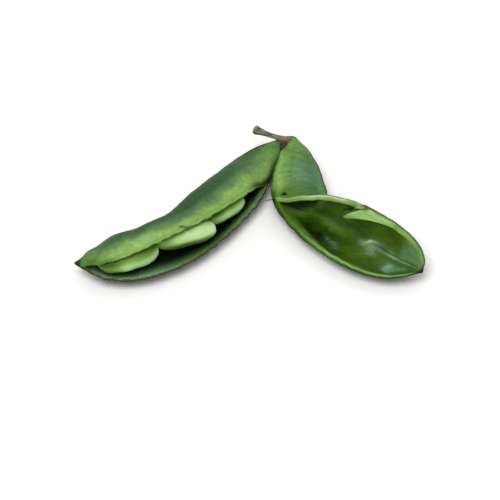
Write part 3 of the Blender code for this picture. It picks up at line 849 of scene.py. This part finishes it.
def kinked_pod(material):
    """The kinked pod, empty, closed up to the kink and spread open beyond it."""
    places = np.linspace(0, 1, ROWS)
    left = np.interp(places, *CROSSING)
    far, near = (smooth_through(line, places) for line in (KINKED_FAR_SEAM, KINKED_NEAR_SEAM))
    opening = ease(1 - left, SPLIT_STEP)
    keel = (
        KEEL_SHARPNESS * ease(places - KEEL_FROM, KEEL_TO - KEEL_FROM),
        np.interp(places, *KEEL_FOOT),
    )
    crossing = ease(1 - left, LIP_FROM) * ease(left, LIP_TO)
    across_it = ease(1 - left, 0.6)
    near_rim = 0.95 + 0.45 * hump(places - 0.42, 0.12) - 0.25 * ease(places - 0.6, 0.2)
    rims = (
        RIM_THICKNESS * (0.40 + 0.60 * across_it), RIM_THICKNESS * near_rim,
        SUTURE_RIB * np.interp(places, *FAR_RIM),
    )
    pod = Pod(
        (far, near, near), bulge(places, KINKED_PLUMPNESS, KINKED_BEANS_AT), left, opening, keel,
        rims, KINKED_HOLLOW, 1.0 + (0.5 + 1.6 * across_it) * crossing,
    )
    pod.ruffle(0.05, 60)
    outer, inner = pod.outer, pod.inner
    for skin, thicker in ((outer, 0.5), (inner, -1.0)):
        run = skin[..., 4] - skin[:, :1, 4]
        raised = ((LIP_LIFT + thicker * across_it) * crossing)[:, None] * hump(run, LIP_REACH)
        skin[..., :3] += raised[..., None] * pod.up[:, None]
    relief = 0.10 * waves(outer[..., :3], 9.0, 4) + 0.03 * waves(outer[..., :3], 3.0, 5)
    pod.push(outer, relief - 0.4 * pit_shape(outer), 1)
    crease = ease(pod.along_mm[:, None] - 68, 6)
    from_crease = (inner[..., 3] - CREASE_AT) * CREASE_WIDTH
    furrow = -0.45 * crease * hump(from_crease, 0.4) + 0.25 * crease * hump(from_crease - 1.1, 0.5)
    raised = 0.7 * lip_tongue(inner) + 0.08 * waves(inner[..., :3], 3.0, 6)
    pod.push(inner, furrow + raised, -1)

    def painted(place, along, across, inside, edge, far, openness, band, bent_along, bent_across):
        """The tone, the rims and the marks of the kinked pod's skin, each from 0 to 1."""
        def spots(title):
            """Soft, uneven spots: the sum of bell curves along and across, each of a strength."""
            return sum(
                strength * hump(bent_along - at, long) * hump(bent_across - share, wide)
                for strength, at, share, long, wide in LINING_SPOTS[title]
            )

        near_rim, far_rim, slit_at = (np.interp(along, *row) for row in KINKED_ALONG.values())
        outside, lower = 1 - inside, ease(across, 0.2)
        above = outside * (1 - lower)
        x, rise = place[..., 0], place[..., 1] + place[..., 2]
        share = np.clip(-across + 0.5 * (across - bent_across), 0, 1)
        above_band = ease(along - 28, 5)
        grain = waves(np.stack([along, 3 * across], axis=-1), 1.3, 96)
        closed_tone = np.interp(share, *CLOSED_TONE)
        closed_tone += (0.62 - closed_tone) * ease(14 - along, 10) * ease(0.9 - share, 0.1)
        closed_tone += 0.014 * grain * ease(share - 0.1, 0.2)
        closed_tone -= 0.12 * above_band * ease(share - 0.15, 0.1)
        # The lower valve's outside is dark: painted shade on the side that faces down.
        outer_tone = closed_tone + (0.24 - closed_tone) * lower
        # The lining is lightened under the band: painted light where the band's shade falls.
        inner_tone = (
            0.30 + 0.10 * hump(edge, 2.0) + spots("tone")
            + 0.40 * ease(43 - along, 6) + 0.10 * ease(along - 62, 10)
            + 0.32 * within(along, 30, 60, 8) * ease(0.35 - across, 0.3)
            + 0.28 * ease(along - 80, 6) * ease(0.5 - across, 0.3)
        )
        tongue = inside * lip_tongue(place)
        lip_end = within(x, 37.0, 47.4, 0.7) * ease(rise - 12, 2) * ease(inside - 0.3, 0.3)
        near = ease(across - 0.3, 0.1)
        to_right = ease(along - 62, 14)
        wider = 1.5 * within(along, 30, 64, 8) + 0.6 * ease(along - 60, 8)
        band = (band + near * inside * wider) * (1 - 0.35 * (1 - near) * ease(along - 76, 8))
        rim = ease(1.2 - edge / band, 0.8) * openness * (1 - 0.35 * near * to_right)
        rim = np.maximum(rim * (1 - lip_end * ease(0.5 + (23.0 - rise) / 0.5)), tongue)
        # A painted highlight along the near rim's inner line, painted shade on its outer, lower
        # side, and painted shade on the underside of the far lip's pale tongue.
        near_rim += 0.22 * hump(inside - 0.8, 0.25) * ease(along - 40, 15)
        near_rim -= (0.30 + 0.20 * to_right) * ease(0.50 + 0.14 * to_right - inside, 0.25)
        far_rim -= 0.20 * tongue * ease(far - 3.0, 2.0)
        rim_tone = far_rim + (near_rim - far_rim) * ease(across - 0.3, 0.3)
        from_crease = (across - CREASE_AT) * CREASE_WIDTH
        slit = hump(across - slit_at, 0.035) * hump(along - 34.5, 2.2)
        crease = ease(along - 68, 5) * hump(from_crease, 0.35)
        wedge = (across >= 0) * hump(far, 2.2) * hump(along - 52.5, 2.6)
        between = hump(rise - 23.1, 0.42) * lip_end
        under_rim = outside * lower * (0.35 + 0.45 * hump(edge, 2.5))
        beside = outside * ease(share - 0.93, 0.06) * within(along, 3.0, 26.0, 4.0)
        tip, neck = ease(along - along.max() + 2.2, 1.6), ease(1.0 - along)
        # Painted shade darkens the lower valve's outside under the near rim, the margin in the gap
        # beside the open pod, the dent, the lining's hollows, the crease, the wedge below the band
        # and the line between the band and the lip. The slit is a dark line, and the beak's tip is
        # dark in its own colour.
        dark = 0.97 * pit_shape(place) * outside + under_rim + 0.45 * beside + 0.7 * tip
        dark += 0.85 * between + inside * (1 - tongue) * (
            spots("dark") + 0.9 * slit + 0.65 * crease + 0.7 * wedge
        )
        # Painted sheen on the wet lining: pale patches, a glint and a light flank by the crease, all
        # painted highlights and reflections. Pale streaks on the closed half's outside join it.
        painted_sheen = inside * (
            spots("painted_sheen") + spots("streaked_painted_sheen") * (1 + 0.8 * grain)
            + 0.24 * ease(along - 72, 6) * hump((across - 0.38) * CREASE_WIDTH, 0.4)
        )
        pale_streaks = hump(bent_along - 22, 9) * hump(bent_across + 0.45, 0.22)
        painted_sheen += 0.13 * above * np.clip(grain, 0, 1) * pale_streaks
        margin = hump(far - 1.9, 1.0) * ease(40 - along, 4)
        blue = inside * (
            spots("blue") + 0.45 * ease(along - 80, 6) * ease(0.6 - across, 0.4)
        ) + above * ease(0.78 - share, 0.3) * (1 - margin) * (
            0.05 + 0.40 * ease(along - 10, 10) * (1 - 0.6 * above_band)
        )
        yellow = inside * spots("yellow")
        yellow += 0.55 * above * above_band * ease(share - 0.25, 0.4)
        outline = ease(0.66 + 0.10 * hump(along - 59, 4) - inside, 0.2)
        outline *= hump(far, 0.8) * ease(along - 42, 6)
        seam = np.maximum(0.85 * outside * hump(np.maximum(far - 0.6, 0), 0.7), 0.9 * outline)
        broken = 0.7 * within(along, 58.4, 60.4, 0.6) * hump(far, 0.5) * ease(outside)
        return {
            "lie": (
                outer_tone * outside + inner_tone * inside, inside * (0.35 + 0.6 * painted_sheen), inside
            ),
            "edge": (rim, rim_tone, 0.3 * rim * ease(along - 80, 8)),
            "marks": limited(dark, painted_sheen, 0.9 * tip + 0.4 * neck + 0.95 * broken),
            "tints": limited(blue, yellow, seam),
        }

    pod_piece("kinked_pod_skin", "kinked_pod", pod, material, (0.6, 0.5), painted)


def pit_shape(place):
    """The dent above the crossing edge: a small triangle that points up and away."""
    aside, away = place[..., 0] - PIT[0], place[..., 1] + place[..., 2] - PIT[1]
    narrow = PIT_WIDE * (1 - away / PIT_DEEP) - np.abs(aside)
    return ease(0.5 + narrow / 0.4) * ease(0.5 + away / 0.3) * hump(place[..., 2] - PIT[2], 2.5)


def lip_tongue(place):
    """Where the pale start of the kinked pod's far lip lies on the face of its hollow."""
    x, rise = place[..., 0], place[..., 1] + place[..., 2]
    at, low, high = LIP_TONGUE
    over, under = rise - np.interp(x, at, low), np.interp(x, at, high) - rise
    return ease(0.5 + over / 0.6) * ease(0.5 + under / 0.6) * within(x, at[0], at[-1], 1.0)


def bean(name, middle, size, turns, material, seed):
    """A fresh bean: a flat kidney shape, dipped at its eye, on a grid round its long axis.

    The grid is a sphere with its poles at the bean's two ends. Each direction is drawn out to a
    blunter solid than an ellipsoid, then sized, dipped, bent and given a soft unevenness.
    """
    turn = np.linspace(0, np.pi, BEAN_ROWS)[:, None]
    round_ = np.linspace(0, 2 * np.pi, BEAN_COLUMNS, endpoint=False)[None]
    way = np.stack(np.broadcast_arrays(
        np.cos(turn), np.sin(turn) * np.cos(round_), np.sin(turn) * np.sin(round_)
    ), axis=-1)
    power = 2 / BEAN_SQUARENESS
    blunt = way * (np.abs(way) ** power).sum(axis=-1, keepdims=True) ** (-1 / power)
    end, side, height = np.moveaxis(blunt, -1, 0)
    shaped = blunt * np.array(size) / 2
    shaped[..., 1] -= HILUM_NOTCH * size[1] * hump(end, HILUM_REACH) * ease(side)
    bend, narrower = BEAN_BENDS[name]
    to_right = np.maximum(end, 0)
    shaped[..., 1] *= np.where(side > 0, 1 - narrower * to_right, 1)
    shaped[..., 1] -= bend * to_right**2
    eye = hump(shaped[..., 0], 1.5) * hump(shaped[..., 2], 0.55) * (side > 0)
    uneven = 0.10 * waves(shaped, 7.0, seed) + 0.03 * waves(shaped, 2.5, seed + 1)
    shaped += way * uneven[..., None]
    shaped[..., 1] += 0.25 * eye
    turned, roll = np.radians(turns)
    cos, sin = np.cos(roll), np.sin(roll)
    about_x = np.array([[1, 0, 0], [0, cos, sin], [0, -sin, cos]])
    cos, sin = np.cos(turned), np.sin(turned)
    about_z = np.array([[cos, -sin, 0], [sin, cos, 0], [0, 0, 1]])
    place = shaped @ (about_z @ about_x).T + np.array(middle)
    pale, top, top_from, under, under_from, left, right = BEAN_PAINTED_SHADE[name]
    # Painted shade darkens the top under the valve, the side towards the eye and the underside; a
    # painted highlight lightens the right end.
    tone = pale - top * ease(height - top_from, 0.6) - 0.3 * ease(side - 0.1, 0.8)
    tone -= under * ease(under_from - height, 0.5) * ease(end + 1.1, 0.9)
    tone += right * hump(end - 1.0, 0.25) * ease(0.6 - height, 0.4)
    tone -= left * ease(-end - 0.10, 0.7)
    values = {"lie": np.stack([tone, eye, 0 * eye], axis=-1)}
    faces = grid_faces(BEAN_ROWS, BEAN_COLUMNS)
    new_piece(f"{name}_seed", place, faces, values, material, [name])


def tube(line, rows, columns, length, seed):
    """A ribbed round tube along a line of places and radii, with a rounded end at both ends.

    Returns its grid, with the share along it and the coordinates for its lengthwise pattern.
    """
    share = np.linspace(0, 1, rows)
    path = smooth_through([place for place, _ in line], share)
    radii = smooth_through([(radius,) for _, radius in line], share)[:, 0]
    along = unit(np.gradient(path, axis=0))
    side = unit(np.cross(along, [0.0, 0.3, 1.0]))
    top = np.cross(side, along)
    turn = np.linspace(0, 2 * np.pi, columns, endpoint=False)[None]
    run = share[:, None] * length

    def around(run_scale, turn_scale):
        parts = run_scale * run, turn_scale * np.cos(turn), turn_scale * np.sin(turn)
        return np.stack(np.broadcast_arrays(*parts), axis=-1)

    ribs = 1 + 0.06 * np.sin(7 * turn + 0.4 * run) + 0.05 * np.sin(3 * turn - 0.7 * run + seed)
    ribs = ribs + 0.05 * waves(around(1.2, 2), 2.0, seed)
    to_end = np.clip(np.minimum(share, 1 - share) / 0.04, 0, 1)
    round_end = np.sqrt(1 - (1 - to_end) ** 2)
    wide = (radii * round_end)[:, None, None] * ribs[..., None]
    turned = side[:, None] * np.cos(turn)[..., None] + top[:, None] * np.sin(turn)[..., None]
    return path[:, None] + wide * turned, share[:, None] + 0 * turn, around(1 / 3, 3)


def bark_values(pink, broken, green, dim, pattern):
    """What the bark's finish needs to know of each point: its colours, its shade, its pattern."""
    pink, broken, green, dim = np.broadcast_arrays(pink, broken, green, dim)
    lie = np.stack([pink, broken, green], axis=-1)
    return {"lie": lie, "skin": pattern, "dim": np.clip(dim, 0, 1)}


def stalk(material):
    """The stalk: a ribbed tube with a broken knob at its free end, and a green neck to each pod."""
    place, share, pattern = tube(STALK, STALK_ROWS, STALK_COLUMNS, STALK_LENGTH, 9)
    knob, end = (hump(place - np.array(at), reach).prod(-1)
                 for at, reach in zip(BROKEN_AT, (0.6, 0.7)))
    broken = ease(0.025 - share, 0.02) + 0.6 * knob + 0.8 * end
    # Painted shade: the stalk's underside is dimmed towards near black.
    underside = ease(-pattern[..., 2] / 3 - 0.1, 0.6)
    values = [bark_values(
        ease(share - 0.60, 0.2), broken, 0.35 * hump(share - 0.86, 0.05),
        0.75 * underside + 0.8 * hump(share - 0.03, 0.015), pattern,
    )]
    places, faces = [place], [grid_faces(*share.shape)]
    for number, line in enumerate(NECKS):
        place, share, pattern = tube(line, NECK_ROWS, STALK_COLUMNS, NECK_LENGTH, 11 + number)
        if number < 2:
            pink, green, dim = 0.4 * (1 - share), ease(share - 0.1, 0.6), 0.2
        else:
            # Painted shade: the neck between the pods is dimmed near black, as the gap's shade.
            pink, green, dim = 0.2, 0.3 + 0 * share, 0.9
        values.append(bark_values(pink, 0, green, dim, pattern))
        faces.append(grid_faces(*share.shape, start=sum(grid[..., 0].size for grid in places)))
        places.append(place)
    values = {title: np.concatenate([part[title] for part in values]) for title in values[0]}
    places, faces = np.concatenate(places), np.concatenate(faces)
    new_piece("stalk_bark", places, faces, values, material, ["stalk"])


def loose_fibre(material):
    """A thin dry fibre that hangs off the kinked pod where its free edge starts to cross."""
    place, share, pattern = tube(FIBRE, FIBRE_ROWS, FIBRE_COLUMNS, FIBRE_LENGTH, 3)
    values = bark_values(0, 0.15, 0 * share, 0.75, pattern)
    faces = grid_faces(*share.shape)
    new_piece("loose_fibre", place, faces, values, material, ["kinked_pod"])


def aimed(name, data, place):
    """Puts a lamp or a camera at a place, turned to look at the object."""
    made = bpy.data.objects.new(name, data)
    made.location = place
    aim = Vector(np.array(LOOKS_AT) - np.array(place))
    made.rotation_euler = aim.to_track_quat("-Z", "Y").to_euler()
    bpy.context.scene.collection.objects.link(made)
    return made


def stage():
    """A plain pale floor, soft studio light from the viewer's side and above, and the camera."""
    scene = bpy.context.scene
    scene.view_settings.view_transform = "Standard"
    bpy.ops.mesh.primitive_plane_add(size=8)
    floor = bpy.context.object
    floor.name = "floor"
    paper, shader, _ = new_finish("white_paper")
    fill(shader, {"Base Color": "#f4f4f2", "Roughness": 0.9, "Specular IOR Level": 0.1})
    floor.data.materials.append(paper)
    world = bpy.data.worlds.new("studio")
    scene.world = world
    world.use_nodes = True
    background = world.node_tree.nodes["Background"]
    fill(background, {"Color": "#ffffff", "Strength": STUDIO_BRIGHTNESS})
    for name, place, size, power in LIGHTS:
        lamp = bpy.data.lights.new(name, "AREA")
        lamp.shape = "DISK"
        lamp.size = size
        lamp.energy = power
        aimed(name, lamp, place)
    camera = bpy.data.cameras.new("camera")
    camera.lens, camera.sensor_width = CAMERA_LENS, CAMERA_SENSOR
    camera.clip_start, camera.clip_end = 0.01, 20
    height = np.radians(CAMERA_ELEVATION)
    away = np.array([0, -np.cos(height), np.sin(height)]) * CAMERA_DISTANCE
    scene.camera = aimed("camera", camera, np.array(LOOKS_AT) + away)


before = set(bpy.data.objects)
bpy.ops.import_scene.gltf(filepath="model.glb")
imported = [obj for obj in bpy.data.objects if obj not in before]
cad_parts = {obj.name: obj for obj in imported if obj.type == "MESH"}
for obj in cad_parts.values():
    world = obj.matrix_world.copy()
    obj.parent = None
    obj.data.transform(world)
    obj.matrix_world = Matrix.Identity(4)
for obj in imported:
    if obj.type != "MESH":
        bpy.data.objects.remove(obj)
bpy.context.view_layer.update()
stage()
pod_skin = fresh_pod_skin("fresh_pod_skin")
open_pod(pod_skin)
kinked_pod(pod_skin)
coat = fresh_bean_skin()
for number, (name, (middle, size, turns)) in enumerate(BEANS.items()):
    bean(name, middle, size, turns, coat, 20 + 2 * number)
bark = dry_stalk_bark()
stalk(bark)
loose_fibre(bark)

bpy.context.view_layer.update()
